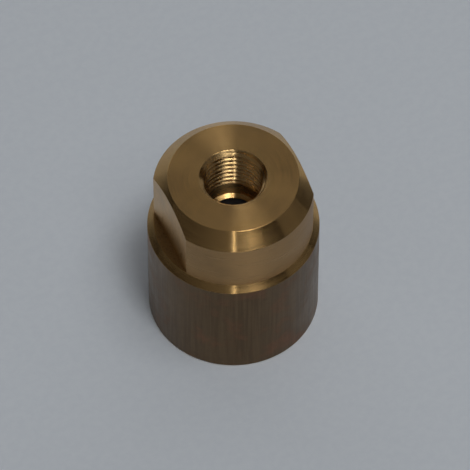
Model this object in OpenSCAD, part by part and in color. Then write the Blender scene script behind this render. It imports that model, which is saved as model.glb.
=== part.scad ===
// Inline water pressure regulator: a turned brass body with a threaded outlet on top, a
// screwed-in end cap with the inlet, and a hollow sprung piston that closes on a soft seat.
// Units are millimetres. The axis is Z, the inlet is at the bottom and Z = 0 is the lower end.

/* [Body] */
// Diameter of the round bar that the body is turned from
body_d = 35; // [34.6:0.1:36]
// Height of the whole regulator
body_h = 41.8; // [41.8:0.1:44]
// Height at which the straight lower part ends and the shoulder chamfer starts
shoulder_z = 26; // [25.4:0.1:26.6]
// Height of the shoulder chamfer
shoulder_h = 1.25; // [1.2:0.05:1.5]
// Diameter of the turned neck above the shoulder
neck_d = 32.5; // [31.5:0.1:33.5]
// Width and height of the 45 degree chamfer round the top face
top_chamfer = 3; // [2:0.1:3.5]
// Distance across the two wrench flats
flats_w = 28; // [27:0.5:30]
// Width of the small chamfers that break the outer edges
edge_break = 0.3; // [0.1:0.1:0.4]

/* [Ports] */
// Major diameter of the pipe thread in both ports, with its clearance
port_d = 13.2; // [13.2:0.05:13.4]
// Diameter of the countersink at the mouth of each port
port_mouth_d = 13.8; // [13.6:0.1:14.2]
// Depth from the top face to the end of the outlet thread
outlet_depth = 10.6; // [10:0.1:11]
// Depth from the lower face to the end of the inlet thread
inlet_depth = 9; // [8.6:0.1:9]
// Depth from the top face to the end of the outlet's smooth drilled bore
outlet_drill_depth = 13.45; // [13:0.05:13.5]
// Diameter of the outlet's smooth drilled bore
outlet_drill_d = 11.7; // [11.5:0.1:11.8]
// Point angle of the drill, which leaves a cone at the end of that bore
drill_point = 118; // [90:1:135]
// Diameter of the hole between the outlet and the chamber
outlet_hole_d = 10; // [9.6:0.1:10.4]
// Diameter of the smooth bore past the inlet thread
inlet_core_d = 11.4; // [11.3:0.1:11.4]

/* [Chamber] */
// Diameter of the bore that the piston head slides in
chamber_d = 25; // [25:0.05:25.2]
// Height of the chamber's roof above the lower end
roof_z = 27.6; // [27.5:0.1:27.7]

/* [End cap] */
// Major diameter of the thread that holds the end cap
cap_d = 30; // [29.6:0.1:30.2]
// Height of the threaded part of the end cap
cap_h = 7; // [6.6:0.1:7]
// Height of the plain spigot above the thread
spigot_h = 2.8; // [2.8:0.1:3]
// Outer diameter of the tube that guides the piston stem
boss_d = 14.8; // [14.6:0.1:15]
// Diameter of the two pin spanner holes
spanner_hole_d = 3.2; // [2.5:0.1:3.6]
// Depth of the pin spanner holes
spanner_hole_depth = 3.2; // [2:0.1:4]
// Distance of the pin spanner holes from the axis
spanner_hole_r = 10.8; // [10:0.1:11.5]
// Angle at which the tightened cap stands
spanner_angle = 25; // [0:5:90]

/* [Piston] */
// Diameter of the hollow stem
stem_d = 9; // [8.8:0.1:9]
// Diameter of the water way through the stem
stem_bore_d = 6.4; // [5.6:0.1:6.6]
// Height of the piston head without its stop rim
head_h = 4.2; // [4.2:0.1:4.3]
// Distance that the piston slides from fully open to closed
travel = 1.45; // [1:0.05:1.45]

/* [Spring] */
// Wire diameter of the main spring
wire_d = 2; // [1.6:0.1:2.1]
// Mean diameter of the spring's coils
spring_mean_d = 19.8; // [19.4:0.1:20]
// Number of coils, with the closed coil at each end
spring_turns = 4; // [3.5:0.25:4.25]
// Thickness of the spring washers
washer_t = 0.8; // [0.6:0.1:0.8]
// Thickness of one preload shim
shim_t = 0.28; // [0.1:0.02:0.28]
// Number of preload shims
shim_count = 2; // [1:1:2]

/* [Inlet valve] */
// Height of the soft seat's upper face above the lower end
seat_top_z = 15.5; // [15.3:0.1:15.6]
// Diameter of the soft seat disc
seat_d = 8.26; // [8.1:0.02:8.3]
// Thickness of the soft seat disc
seat_t = 1.2; // [1:0.1:1.3]
// Thickness of the retaining rings
ring_t = 0.4; // [0.3:0.05:0.4]
// Diameter of the holes in the inlet screen
screen_hole_d = 0.8; // [0.5:0.1:0.9]

/* [Vent] */
// Diameter of the vent that lets air in and out of the spring space
vent_d = 1.6; // [1.2:0.1:2]
// Diameter of the breather plug
vent_plug_d = 2.9; // [2.6:0.1:3.4]
// Height of the vent above the lower end
vent_z = 14; // [12:0.5:18]

/* [Hidden] */

$fn = 96;
tiny = 0.01;

// Colours
brass = [0.72, 0.54, 0.26];
dark_brass = [0.42, 0.28, 0.14];
acetal = [0.07, 0.07, 0.08];
rubber = [0.05, 0.05, 0.055];
soft_seat = [0.30, 0.09, 0.05];
ptfe = [0.86, 0.85, 0.80];
bronze = [0.62, 0.42, 0.24];
steel = [0.70, 0.70, 0.72];
spring_steel = [0.45, 0.46, 0.48];

// Fits
running = 0.05;
loose = 0.02;

// Body
body_r = body_d / 2;
neck_r = neck_d / 2;
neck_z = shoulder_z + shoulder_h;
top_chamfer_z = body_h - top_chamfer;
top_r = neck_r - top_chamfer;
port_r = port_d / 2;
mouth_r = port_mouth_d / 2;
mouth_h = mouth_r - port_r;
core_r = inlet_core_d / 2;
drill_r = outlet_drill_d / 2;
hole_r = outlet_hole_d / 2;
outlet_end_z = body_h - outlet_depth;
drill_end_z = body_h - outlet_drill_depth;
cone_end_z = drill_end_z - (drill_r - hole_r) / tan(drill_point / 2);
chamber_r = chamber_d / 2;
flat_cut = body_d;

// End cap
cap_r = cap_d / 2;
cap_chamfer = 0.4;
cap_relief_r = cap_r - 1.1;
cap_relief_h = 1.2;
spigot_r = chamber_r - running;
cap_top_z = cap_h + spigot_h;
cap_groove_r = chamber_r - 1.5;
cap_groove_low = cap_h + 0.6;
cap_groove_high = cap_groove_low + 1.6;
boss_r = boss_d / 2;

// Piston, standing fully open against the roof
stop_rim_h = 0.25;
head_top_z = roof_z - running - stop_rim_h;
head_low_z = head_top_z - head_h;
head_r = chamber_r - 0.08;
head_groove_r = chamber_r - 1.65;
head_groove_high = head_top_z - 0.5;
head_groove_low = head_groove_high - 1.65;
guide_groove_r = chamber_r - 0.9;
guide_groove_high = head_groove_low - 0.35;
guide_groove_low = guide_groove_high - 1.2;
stop_rim_r = [10.4, 11.4];
stem_r = stem_d / 2;
stem_bore_r = stem_bore_d / 2;
stem_low_z = seat_top_z + travel + running;
stem_edge_r = [stem_bore_r + 0.4, stem_bore_r + 0.7];

// Guide tube over the stem
boss_top_z = head_low_z - travel - 0.25;
boss_edge = 0.4;
guide_bore_r = stem_r + running;
stem_groove_r = guide_bore_r + 1.05;
stem_groove_high = boss_top_z - 0.9;
stem_groove_low = stem_groove_high - 1.9;
valve_room_r = core_r - 0.3;
valve_room_top = stem_groove_low - 0.8;

// Spring stack
stack_outer_r = 11.3;
lower_washer_z = cap_top_z + shim_count * (shim_t + loose);
spring_low_z = lower_washer_z + washer_t;
spring_high_z = head_low_z - washer_t;
wire_r = wire_d / 2;
spring_r = spring_mean_d / 2;
closed_turns = 1;
wire_sides = 12;
steps_per_turn = 40;

// Inlet valve and screen, held in the smooth bore above the inlet thread
screen_ring_z = inlet_depth + 0.2;
ring_groove_h = ring_t + 0.1;
ring_groove_r = core_r + 0.45;
frame_z = screen_ring_z + ring_groove_h;
frame_h = 1.1;
carrier_ring_z = frame_z + frame_h + 0.05;
carrier_z = carrier_ring_z + ring_groove_h + 0.05;
carrier_rim_h = 1.2;
carrier_shoulder_z = carrier_z + carrier_rim_h;
held_r = core_r - running;
rim_inner_r = core_r - 0.8;
spoke_count = 3;
spoke_w = 1.5;
hub_r = 2.6;
cup_r = valve_room_r - 0.8;
cup_floor_z = seat_top_z - seat_t;
cup_base_t = 0.4;
cup_rim_z = seat_top_z - 0.3;
seat_r = seat_d / 2;
screw_r = 1.2;
screw_head_r = 1.8;
screw_head_h = 1;
seat_washer_r = 2;
seat_washer_t = 0.4;
slot_w = 0.5;
screen_t = 0.3;
screen_r = 5.2;
screen_open_r = 4.7;
screen_z = frame_z + (frame_h - screen_t) / 2;
screen_pitch = 1.2;
screen_rows = 4;

// Vent
vent_plug_r = vent_plug_d / 2;
vent_seat_y = body_r - 1.6;
vent_plug_l = 1.2;

// A solid of revolution round the Z axis from an outline of [radius, height] points
module turned(outline) {
    rotate_extrude() polygon(outline);
}

// A flat ring between two radii
module flat_ring(inner_r, outer_r, low_z, height) {
    turned([
        [inner_r, low_z], [outer_r, low_z],
        [outer_r, low_z + height], [inner_r, low_z + height]
    ]);
}

// A ring of round cord that lies between two radii
module cord_ring(inner_r, outer_r, mid_z) {
    translate([0, 0, mid_z])
        rotate_extrude()
            translate([(inner_r + outer_r) / 2, 0])
                circle(r = (outer_r - inner_r) / 2);
}

// An internal snap ring with two eyes for the pliers
module snap_ring(low_z) {
    ring_outer_r = ring_groove_r - 0.05;
    ring_inner_r = core_r - 0.65;
    eye_r = 0.85;
    eye_hole_r = 0.4;
    eye_turn = 24;
    eye_place = core_r - 1;
    gap_turn = 12;
    difference() {
        union() {
            difference() {
                flat_ring(ring_inner_r, ring_outer_r, low_z, ring_t);
                gap_r = 2 * core_r;
                translate([0, 0, low_z - tiny])
                    linear_extrude(ring_t + 2 * tiny)
                        polygon([
                            [0, 0],
                            gap_r * [cos(gap_turn), -sin(gap_turn)],
                            gap_r * [cos(gap_turn), sin(gap_turn)]
                        ]);
            }
            for (side = [-1, 1])
                rotate(side * eye_turn)
                    translate([eye_place, 0, low_z])
                        cylinder(h = ring_t, r = eye_r);
        }
        for (side = [-1, 1])
            rotate(side * eye_turn)
                translate([eye_place, 0, low_z - tiny])
                    cylinder(h = ring_t + 2 * tiny, r = eye_hole_r);
    }
}

// The turned and milled body, with the outlet port on top and the chamber below
module body() {
    color(dark_brass)
        difference() {
            turned([
                [cap_r + cap_chamfer, 0],
                [body_r - edge_break, 0],
                [body_r, edge_break],
                [body_r, shoulder_z],
                [neck_r, neck_z],
                [neck_r, top_chamfer_z],
                [top_r, body_h],
                [mouth_r, body_h],
                [port_r, body_h - mouth_h],
                [port_r, outlet_end_z],
                [drill_r, outlet_end_z],
                [drill_r, drill_end_z],
                [hole_r, cone_end_z],
                [hole_r, roof_z],
                [chamber_r, roof_z],
                [chamber_r, cap_h],
                [cap_r, cap_h],
                [cap_r, cap_chamfer]
            ]);
            for (side = [-1, 1])
                translate([side * (flats_w + flat_cut) / 2, 0, neck_z + flat_cut / 2])
                    cube(flat_cut, center = true);
            translate([0, 0, vent_z])
                rotate([-90, 0, 0])
                    cylinder(h = body_r + tiny, d = vent_d);
            translate([0, vent_seat_y, vent_z])
                rotate([-90, 0, 0])
                    cylinder(h = body_r, r = vent_plug_r + loose);
        }
}

// The screwed-in lower cap, with the inlet port and the tube that guides the stem
module end_cap() {
    color(brass)
        difference() {
            turned([
                [mouth_r, 0],
                [cap_r - running - cap_chamfer, 0],
                [cap_r - running, cap_chamfer],
                [cap_r - running, cap_h - cap_relief_h],
                [cap_relief_r, cap_h - cap_relief_h],
                [cap_relief_r, cap_h],
                [spigot_r, cap_h],
                [spigot_r, cap_groove_low],
                [cap_groove_r, cap_groove_low],
                [cap_groove_r, cap_groove_high],
                [spigot_r, cap_groove_high],
                [spigot_r, cap_top_z - edge_break],
                [spigot_r - edge_break, cap_top_z],
                [boss_r, cap_top_z],
                [boss_r, boss_top_z - boss_edge],
                [boss_r - boss_edge, boss_top_z],
                [guide_bore_r + boss_edge, boss_top_z],
                [guide_bore_r, boss_top_z - boss_edge],
                [guide_bore_r, stem_groove_high],
                [stem_groove_r, stem_groove_high],
                [stem_groove_r, stem_groove_low],
                [guide_bore_r, stem_groove_low],
                [guide_bore_r, valve_room_top],
                [valve_room_r, valve_room_top],
                [valve_room_r, carrier_shoulder_z],
                [core_r, carrier_shoulder_z],
                [core_r, carrier_ring_z + ring_groove_h],
                [ring_groove_r, carrier_ring_z + ring_groove_h],
                [ring_groove_r, carrier_ring_z],
                [core_r, carrier_ring_z],
                [core_r, screen_ring_z + ring_groove_h],
                [ring_groove_r, screen_ring_z + ring_groove_h],
                [ring_groove_r, screen_ring_z],
                [core_r, screen_ring_z],
                [core_r, inlet_depth],
                [port_r, inlet_depth],
                [port_r, mouth_h]
            ]);
            for (side = [0, 1])
                rotate(spanner_angle + 180 * side)
                    translate([spanner_hole_r, 0, -tiny])
                        cylinder(h = spanner_hole_depth + tiny, d = spanner_hole_d);
        }
}

// The rubber ring in the end cap's groove
module end_cap_seal() {
    color(rubber)
        cord_ring(cap_groove_r + loose, chamber_r - loose, (cap_groove_low + cap_groove_high) / 2);
}

// The hollow piston: a wide head above, and a stem whose lower edge closes on the seat
module piston() {
    stem_edge_h = 0.9;
    bore_edge_h = 0.5;
    root_r = 0.4;
    bore_mouth_r = stem_bore_r + 0.8;
    notch_w = 2;
    color(acetal)
        difference() {
            turned([
                [stem_bore_r, stem_low_z + bore_edge_h],
                [stem_edge_r[0], stem_low_z],
                [stem_edge_r[1], stem_low_z],
                [stem_r, stem_low_z + stem_edge_h],
                [stem_r, head_low_z - root_r],
                [stem_r + root_r, head_low_z],
                [head_r - edge_break, head_low_z],
                [head_r, head_low_z + edge_break],
                [head_r, guide_groove_low],
                [guide_groove_r, guide_groove_low],
                [guide_groove_r, guide_groove_high],
                [head_r, guide_groove_high],
                [head_r, head_groove_low],
                [head_groove_r, head_groove_low],
                [head_groove_r, head_groove_high],
                [head_r, head_groove_high],
                [head_r, head_top_z - edge_break],
                [head_r - edge_break, head_top_z],
                [stop_rim_r[1], head_top_z],
                [stop_rim_r[1], head_top_z + stop_rim_h],
                [stop_rim_r[0], head_top_z + stop_rim_h],
                [stop_rim_r[0], head_top_z],
                [bore_mouth_r, head_top_z],
                [stem_bore_r, head_top_z - (bore_mouth_r - stem_bore_r)]
            ]);
            for (turn = [0, 90])
                rotate(turn)
                    translate([0, 0, head_top_z + stop_rim_h])
                        cube([chamber_d, notch_w, 2 * stop_rim_h], center = true);
        }
}

// The rubber ring round the piston head
module piston_head_seal() {
    color(rubber)
        cord_ring(
            head_groove_r + running, chamber_r - running / 2,
            (head_groove_low + head_groove_high) / 2
        );
}

// The slippery split band that keeps the head central in its bore
module piston_guide_ring() {
    split_w = 0.6;
    split_lean = 30;
    low_z = guide_groove_low + running;
    height = guide_groove_high - guide_groove_low - 2 * running;
    color(ptfe)
        difference() {
            flat_ring(guide_groove_r + running, chamber_r - running / 2, low_z, height);
            translate([chamber_r, 0, low_z + height / 2])
                rotate([split_lean, 0, 0])
                    cube([chamber_r / 2, split_w, 4 * height], center = true);
        }
}

// The rubber ring that seals the stem in its guide tube
module stem_seal() {
    color(rubber)
        cord_ring(
            guide_bore_r + loose, stem_groove_r - loose,
            (stem_groove_low + stem_groove_high) / 2
        );
}

// Two stiff rings, one on each side of the stem seal
module stem_backup_rings() {
    backup_t = 0.35;
    color(ptfe)
        for (low_z = [stem_groove_low + loose, stem_groove_high - loose - backup_t])
            flat_ring(guide_bore_r, stem_groove_r - loose, low_z, backup_t);
}

// Height of the spring wire's centre after a number of turns
rise = spring_high_z - spring_low_z - wire_r;
pitch = (rise - 2 * closed_turns * wire_d) / (spring_turns - 2 * closed_turns);
function wire_z(turns) =
    turns < closed_turns ? turns * wire_d
    : turns > spring_turns - closed_turns ? rise - (spring_turns - turns) * wire_d
    : closed_turns * wire_d + (turns - closed_turns) * pitch;

// The main spring: a swept wire with a closed coil at each end, ground flat
module main_spring() {
    steps = spring_turns * steps_per_turn;
    side_turn = 360 / wire_sides;
    points = [
        for (i = [0:steps], s = [0:wire_sides - 1])
            let (
                turns = i / steps_per_turn,
                r = spring_r + wire_r * cos(s * side_turn),
                z = wire_z(turns) + wire_r * sin(s * side_turn)
            )
            [r * cos(360 * turns), r * sin(360 * turns), z]
    ];
    sides = [
        for (i = [0:steps - 1], s = [0:wire_sides - 1])
            let (next = (s + 1) % wire_sides)
            [
                i * wire_sides + s,
                (i + 1) * wire_sides + s,
                (i + 1) * wire_sides + next,
                i * wire_sides + next
            ]
    ];
    first_end = [for (s = [0:wire_sides - 1]) s];
    last_end = [for (s = [wire_sides - 1:-1:0]) steps * wire_sides + s];
    height = spring_high_z - spring_low_z;
    color(spring_steel)
        translate([0, 0, spring_low_z])
            intersection() {
                translate([0, 0, wire_r / 2])
                    polyhedron(points, concat(sides, [first_end, last_end]));
                cylinder(h = height, r = stack_outer_r);
            }
}

// The washer between the spring and the piston head
module upper_spring_washer() {
    color(steel)
        flat_ring(boss_r + 0.4, stack_outer_r, spring_high_z, washer_t);
}

// The washer that the spring stands on
module lower_spring_washer() {
    color(steel)
        flat_ring(boss_r + 0.15, stack_outer_r, lower_washer_z, washer_t);
}

// Thin shims under the lower washer, which set the spring's preload
module preload_shims() {
    color(steel)
        for (i = [0:shim_count - 1])
            flat_ring(boss_r + 0.15, stack_outer_r, cap_top_z + i * (shim_t + loose), shim_t);
}

// The spider that holds the soft seat in the middle of the water way
module seat_carrier() {
    neck_top_z = cup_floor_z - cup_base_t - 0.3;
    color(brass)
        difference() {
            turned([
                [screw_r + loose, carrier_z],
                [held_r, carrier_z],
                [held_r, carrier_shoulder_z],
                [hub_r, carrier_shoulder_z],
                [hub_r, neck_top_z],
                [cup_r, cup_floor_z - cup_base_t],
                [cup_r, cup_rim_z],
                [seat_r + loose, cup_rim_z],
                [seat_r + loose, cup_floor_z],
                [screw_r + loose, cup_floor_z]
            ]);
            translate([0, 0, carrier_z - tiny])
                linear_extrude(carrier_rim_h + 2 * tiny)
                    carrier_windows();
        }
}

// Outline of the water ways between the spider's spokes
module carrier_windows() {
    difference() {
        circle(r = rim_inner_r);
        circle(r = hub_r + tiny);
        for (i = [0:spoke_count - 1])
            rotate(i * 360 / spoke_count + 30)
                translate([0, -spoke_w / 2])
                    square([core_r, spoke_w]);
    }
}

// The soft disc that the stem closes on
module seat_disc() {
    color(soft_seat)
        flat_ring(screw_r + loose, seat_r, cup_floor_z, seat_t);
}

// The small washer that clamps the soft disc
module seat_washer() {
    color(steel)
        flat_ring(screw_r + loose, seat_washer_r, seat_top_z, seat_washer_t);
}

// The slotted screw that holds the disc and its washer in the carrier
module seat_screw() {
    head_z = seat_top_z + seat_washer_t;
    screw_low_z = carrier_z + 0.3;
    slot_depth = 0.45;
    color(steel)
        difference() {
            turned([
                [0, screw_low_z],
                [screw_r - edge_break, screw_low_z],
                [screw_r, screw_low_z + edge_break],
                [screw_r, head_z],
                [screw_head_r, head_z],
                [screw_head_r, head_z + screw_head_h - edge_break],
                [screw_head_r - edge_break, head_z + screw_head_h],
                [0, head_z + screw_head_h]
            ]);
            translate([0, 0, head_z + screw_head_h])
                cube([3 * screw_head_r, slot_w, 2 * slot_depth], center = true);
        }
}

// The snap ring under the seat carrier
module seat_carrier_ring() {
    color(spring_steel)
        rotate(90)
            snap_ring(carrier_ring_z + ring_groove_h - ring_t);
}

// The fine screen across the inlet, with its holes in a triangular pattern
module inlet_screen() {
    row_step = screen_pitch * sin(60);
    color(steel)
        difference() {
            translate([0, 0, screen_z])
                cylinder(h = screen_t, r = screen_r - loose);
            for (row = [-screen_rows:screen_rows], place = [-screen_rows:screen_rows]) {
                x = screen_pitch * (place + (abs(row) % 2) / 2);
                y = row_step * row;
                if (norm([x, y]) < screen_open_r - screen_hole_d)
                    translate([x, y, screen_z - tiny])
                        cylinder(h = screen_t + 2 * tiny, d = screen_hole_d, $fn = 24);
            }
        }
}

// The ring that the screen is clamped in
module screen_frame() {
    color(brass)
        turned([
            [screen_open_r, frame_z],
            [held_r, frame_z],
            [held_r, frame_z + frame_h],
            [screen_open_r, frame_z + frame_h],
            [screen_open_r, screen_z + screen_t],
            [screen_r, screen_z + screen_t],
            [screen_r, screen_z],
            [screen_open_r, screen_z]
        ]);
}

// The snap ring under the screen
module screen_ring() {
    color(spring_steel)
        rotate(-60)
            snap_ring(screen_ring_z + ring_groove_h - ring_t);
}

// The porous plug that lets the spring space breathe
module vent_plug() {
    color(bronze)
        translate([0, vent_seat_y, vent_z])
            rotate([-90, 0, 0])
                cylinder(h = vent_plug_l, r = vent_plug_r);
}

body();
end_cap();
end_cap_seal();
piston();
piston_head_seal();
piston_guide_ring();
stem_seal();
stem_backup_rings();
main_spring();
upper_spring_washer();
lower_spring_washer();
preload_shims();
seat_carrier();
seat_disc();
seat_washer();
seat_screw();
seat_carrier_ring();
inlet_screen();
screen_frame();
screen_ring();
vent_plug();
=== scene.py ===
"""Looks of an inline water pressure regulator: turned brass outside, sprung valve inside.

Sizes are in millimetres here, and a mesh is written in metres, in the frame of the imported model.
"""

import math

import bmesh
import bpy
from mathutils import Matrix, Vector


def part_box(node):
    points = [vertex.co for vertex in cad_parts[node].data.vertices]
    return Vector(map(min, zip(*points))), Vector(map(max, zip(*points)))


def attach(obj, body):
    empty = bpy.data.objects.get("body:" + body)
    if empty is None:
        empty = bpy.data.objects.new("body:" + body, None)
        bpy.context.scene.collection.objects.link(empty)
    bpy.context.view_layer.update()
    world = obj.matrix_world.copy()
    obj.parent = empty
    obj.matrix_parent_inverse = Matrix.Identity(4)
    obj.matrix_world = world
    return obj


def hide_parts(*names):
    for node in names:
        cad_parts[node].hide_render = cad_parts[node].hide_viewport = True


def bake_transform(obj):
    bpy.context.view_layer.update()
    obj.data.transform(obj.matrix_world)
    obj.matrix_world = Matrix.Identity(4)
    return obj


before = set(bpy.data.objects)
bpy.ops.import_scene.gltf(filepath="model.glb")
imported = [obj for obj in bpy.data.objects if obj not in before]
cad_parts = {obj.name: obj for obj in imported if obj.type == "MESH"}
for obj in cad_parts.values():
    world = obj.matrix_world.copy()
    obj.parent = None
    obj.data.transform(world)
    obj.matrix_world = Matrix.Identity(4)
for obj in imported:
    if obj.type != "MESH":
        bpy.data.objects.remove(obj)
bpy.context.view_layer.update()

MM = 0.001
TAU = 2 * math.pi


def corners(node):
    """A node's lowest and highest corner, in millimetres."""
    low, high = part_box(node)
    return Vector(low) / MM, Vector(high) / MM


# ---------------------------------------------------------------- sizes

BODY_HIGH = corners("body")[1]
CAP_HIGH = corners("end_cap")[1]
PISTON_LOW, PISTON_HIGH = corners("piston")
SPRING_LOW, SPRING_HIGH = corners("main_spring")
CARRIER_LOW = corners("seat_carrier")[0]
FRAME_LOW, FRAME_HIGH = corners("screen_frame")
SCREEN_LOW, SCREEN_HIGH = corners("inlet_screen")
PLUG_LOW, PLUG_HIGH = corners("vent_plug")

# Outside of the body
BODY_R = BODY_HIGH.x
TOP_Z = BODY_HIGH.z
SHOULDER_Z = 26.0
NECK_Z = 27.25
NECK_R = 16.25
TOP_CHAMFER = 3.0
FLAT_X = 14.0
EDGE_BREAK = 0.3

# Ports: a pipe thread with 19 threads per inch, countersunk a little wider than its roots
MOUTH_R = 6.9
MOUTH_RIM = 0.05
OUTLET_CREST_R = 5.85
INLET_CREST_R = 5.7
ROOT_R = 6.58
PIPE_PITCH = 25.4 / 19
OUTLET_END_Z = TOP_Z - 10.6
INLET_END_Z = 9.0
DRILL_R = 5.85
DRILL_END_Z = TOP_Z - 13.45
DRILL_POINT = math.radians(118)
HOLE_R = 5.0
HOLE_TOP_Z = DRILL_END_Z - (DRILL_R - HOLE_R) / math.tan(DRILL_POINT / 2)

# Chamber and the thread that holds the end cap
CHAMBER_R = 12.5
ROOF_Z = 27.6
CAP_H = 7.0
CAP_THREAD_R = 15.0
CAP_THREAD_DEPTH = 0.8
CAP_PITCH = 1.5
CAP_CHAMFER = 0.4
CAP_RELIEF_Z = CAP_H - 1.2
FIT_GAP = 0.05

# How finely the body is meshed: columns round it, some of them on each flat, and rows up its faces
FLAT_HALF = math.acos(FLAT_X / NECK_R)
FLAT_COLUMNS = 44
NECK_COLUMNS = 84
BODY_COLUMNS = 2 * (FLAT_COLUMNS + NECK_COLUMNS)
LEDGE_ROWS = 3
NECK_ROWS = 6
CHAMFER_ROWS = 4
TOP_ROWS = 8
WALL_ROWS = 4
VENT_ROWS = 12


# ---------------------------------------------------------------- mesh tools

def spaced(first, last, count):
    """count + 1 evenly spaced values from first to last."""
    return [first + (last - first) * i / count for i in range(count + 1)]


def circle_angles(count):
    return [TAU * i / count for i in range(count)]


def polar(radius, angle, z):
    return Vector((radius * math.cos(angle), radius * math.sin(angle), z))


def blend(a, b, share):
    return a + (b - a) * share


def block_loop(i0, i1, j0, j1):
    """The grid nodes round a block of a patch, in one turn."""
    return (
        [(i, j0) for i in range(i0, i1)]
        + [(i1, j) for j in range(j0, j1)]
        + [(i, j1) for i in range(i1, i0, -1)]
        + [(i0, j) for j in range(j1, j0, -1)]
    )


class Skin:
    """Patches of quads, each with its finish, welded into one closed mesh."""

    WELD = 1e-4
    HARD_ANGLE = math.radians(20)
    BEVEL_STEPS = 2

    def __init__(self):
        self.bm = bmesh.new()
        self.finishes = []
        self.soft = set()

    def face(self, points, finish):
        made = self.bm.faces.new(points)
        made.material_index = self.finishes.index(finish)
        made.smooth = True

    def patch(self, finish, columns, rows, place, closed=True, soft=False, leave=()):
        """A grid with column i and row j at place(i, j).

        soft keeps its edges unbevelled, and leave holds blocks (i0, i1, j0, j1) that stay open.
        """
        if finish not in self.finishes:
            self.finishes.append(finish)
        if soft:
            self.soft.add(self.finishes.index(finish))
        count = columns if closed else columns + 1
        nodes = [[self.bm.verts.new(place(i, j)) for j in range(rows + 1)] for i in range(count)]
        for i in range(columns):
            left, right = nodes[i], nodes[(i + 1) % count]
            for j in range(rows):
                if any(i0 <= i < i1 and j0 <= j < j1 for i0, i1, j0, j1 in leave):
                    continue
                self.face((left[j], right[j], right[j + 1], left[j + 1]), finish)

    def turned(self, finish, outline, angles, middle=Vector(), leave=()):
        """A surface of revolution about an upright axis, from an open outline of (radius, z) points."""
        self.patch(
            finish, len(angles), len(outline) - 1,
            lambda i, j: middle + polar(outline[j][0], angles[i], outline[j][1]),
            leave=leave,
        )

    def loops(self, finish, rings):
        """Quads between each ring of points and the next one."""
        self.patch(finish, len(rings[0]), len(rings) - 1, lambda i, j: rings[j][i])

    def bar(self, finish, steps, corner):
        """A closed bar with four edges: corner(i, j) places edge j after i steps of its way."""
        self.patch(finish, steps, 4, lambda i, j: corner(i, j % 4), closed=False)
        for i in (0, steps):
            self.face([self.bm.verts.new(corner(i, j)) for j in range(4)], finish)

    def close_up(self):
        """Welds the patches and turns every face outward."""
        bmesh.ops.remove_doubles(self.bm, verts=self.bm.verts, dist=self.WELD)
        bmesh.ops.dissolve_degenerate(self.bm, edges=self.bm.edges, dist=self.WELD)
        bmesh.ops.recalc_face_normals(self.bm, faces=self.bm.faces)
        if self.bm.calc_volume(signed=True) < 0:
            bmesh.ops.reverse_faces(self.bm, faces=self.bm.faces)

    def finish_mesh(self, name, bevel=0.0, cuts=()):
        """Closes the mesh, takes the cuts out, rounds the hard edges and returns the object, in metres."""
        self.close_up()
        mesh = bpy.data.meshes.new(name)
        for finish in self.finishes:
            mesh.materials.append(finish)
        piece = bpy.data.objects.new(name, mesh)
        bpy.context.scene.collection.objects.link(piece)
        if cuts:
            self.bm.to_mesh(mesh)
            cutters = [cut.finish_mesh("cutter") for cut in cuts]
            for cutter in cutters:
                cutter.data.transform(Matrix.Scale(1 / MM, 4))
                cut_out = piece.modifiers.new("cut_out", "BOOLEAN")
                cut_out.operation = "DIFFERENCE"
                cut_out.object = cutter
            applied(piece)
            mesh = piece.data
            for cutter in cutters:
                bpy.data.objects.remove(cutter)
            self.bm.clear()
            self.bm.from_mesh(mesh)
        weight = self.bm.edges.layers.float.new("bevel_weight_edge")
        for edge in self.bm.edges:
            faces = edge.link_faces
            if len(faces) != 2 or self.soft & {f.material_index for f in faces}:
                continue
            edge[weight] = float(edge.calc_face_angle(0.0) > self.HARD_ANGLE)
        bmesh.ops.scale(self.bm, vec=(MM, MM, MM), verts=self.bm.verts)
        self.bm.to_mesh(mesh)
        self.bm.free()
        if bevel:
            edge_round = piece.modifiers.new("edge_round", "BEVEL")
            edge_round.limit_method = "WEIGHT"
            edge_round.width = bevel * MM
            edge_round.segments = self.BEVEL_STEPS
            edge_round.use_clamp_overlap = False
            edge_round.harden_normals = True
            applied(piece)
        return piece


def applied(piece):
    """Turns a piece's modifiers into plain mesh."""
    graph = bpy.context.evaluated_depsgraph_get()
    made = bpy.data.meshes.new_from_object(
        piece.evaluated_get(graph), preserve_all_data_layers=True, depsgraph=graph
    )
    made.name = piece.name
    piece.modifiers.clear()
    piece.data = made
    return piece


def place_piece(piece, body, node):
    """The piece moves with a body and stands in for a CAD node."""
    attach(piece, body)
    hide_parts(node)


def slope(value, low, high):
    """0 below low and 1 above high, with an even slope between."""
    return min(max((value - low) / (high - low), 0.0), 1.0)


def groove(phase):
    """Depth of a rounded thread groove as a share of the whole, 0 on the crest and 1 at the root."""
    return 0.5 - 0.5 * math.cos(TAU * phase)


def faded(z, low, high, pitch):
    """How much of a thread's depth is left at a height, with both of its ends faded out."""
    return slope(z, low, low + pitch) * (1 - slope(z, high - pitch, high))


def cap_thread(outer_r):
    """Wall of the end cap's thread, or of the body's thread for it."""

    def wall(z, phase):
        share = faded(z, CAP_CHAMFER, CAP_RELIEF_Z, CAP_PITCH / 2)
        return outer_r - CAP_THREAD_DEPTH * (1 - groove(phase)) * share

    return wall


def port_thread(crest_r, face_z, end_z):
    """Wall of a port's thread: it runs out at end_z, and a countersink at the face cuts into it."""

    def wall(z, phase):
        run_out = slope(abs(z - end_z), 0.0, PIPE_PITCH)
        thread_r = crest_r + (ROOT_R - crest_r) * groove(phase) * run_out
        return max(thread_r, MOUTH_R - abs(face_z - z))

    return wall


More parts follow.
